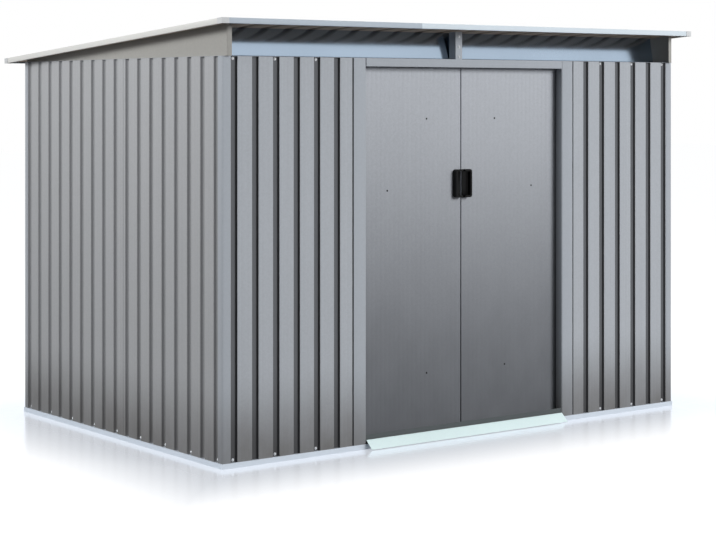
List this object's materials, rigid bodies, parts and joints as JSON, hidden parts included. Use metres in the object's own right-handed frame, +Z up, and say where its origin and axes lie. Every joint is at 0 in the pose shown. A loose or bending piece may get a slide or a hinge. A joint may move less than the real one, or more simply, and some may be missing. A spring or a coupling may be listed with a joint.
{
  "type": "metal tool shed with a pent roof and sliding doors",
  "caption": "Ribbed galvanised steel garden shed with a single-slope roof that rises to the front, sliding doors with black cup handles, a ramp sill and an open gap under the eaves.",
  "frame": {"origin": "on the ground under the middle of the roof's plan", "axes": "+X along the front to its right end, +Y from the front to the back, +Z up"},
  "size_m": [2.77, 1.962, 1.8599],
  "materials": {
    "ribbed_sheet": "galvanised sheet, satin, with fine swage lines",
    "door_sheet": "galvanised sheet, satin, finely ribbed",
    "frame_steel": "folded galvanised strip, satin",
    "bright_trim": "folded galvanised strip, bright",
    "gable_steel": "smooth galvanised plate, dull",
    "cap_plastic": "moulded, light grey",
    "handle_plastic": "moulded, black",
    "slider_nylon": "moulded nylon, dark grey"
  },
  "bodies": {
    "shell": {"front_left_panel": "ribbed_sheet", "front_right_panel": "ribbed_sheet", "left_wall": "ribbed_sheet", "right_wall": "ribbed_sheet", "back_wall": "ribbed_sheet", "roof_sheet_left": "ribbed_sheet", "roof_sheet_middle": "ribbed_sheet", "roof_sheet_right": "ribbed_sheet", "front_left_corner": "frame_steel", "front_right_corner": "frame_steel", "back_left_corner": "frame_steel", "back_right_corner": "frame_steel", "left_jamb": "frame_steel", "right_jamb": "frame_steel", "door_head": "frame_steel", "front_top_rail": "frame_steel", "left_top_rail": "frame_steel", "right_top_rail": "frame_steel", "back_top_rail": "frame_steel", "mid_rails": "frame_steel", "centre_post": "frame_steel", "front_roof_beam": "frame_steel", "roof_purlin": "frame_steel", "upper_track": "frame_steel", "lower_track": "frame_steel", "base_front": "bright_trim", "base_back": "bright_trim", "base_left": "bright_trim", "base_right": "bright_trim", "door_sill": "bright_trim", "front_trim_left": "bright_trim", "front_trim_right": "bright_trim", "back_trim": "bright_trim", "left_trim": "bright_trim", "right_trim": "bright_trim", "left_gable_plate": "gable_steel", "right_gable_plate": "gable_steel", "roof_corner_caps": "cap_plastic"},
    "left_door": {"left_door_leaf": "door_sheet", "left_door_handle": "handle_plastic", "left_door_sliders": "slider_nylon"},
    "right_door": {"right_door_leaf": "door_sheet", "right_door_handle": "handle_plastic", "right_door_sliders": "slider_nylon"}
  },
  "joints": [
    {"name": "left_door_slide", "type": "slide", "parent": "shell", "child": "left_door", "axis": [-1, 0, 0], "range_m": [0, 0.53]},
    {"name": "right_door_slide", "type": "slide", "parent": "shell", "child": "right_door", "axis": [1, 0, 0], "range_m": [0, 0.53]}
  ]
}
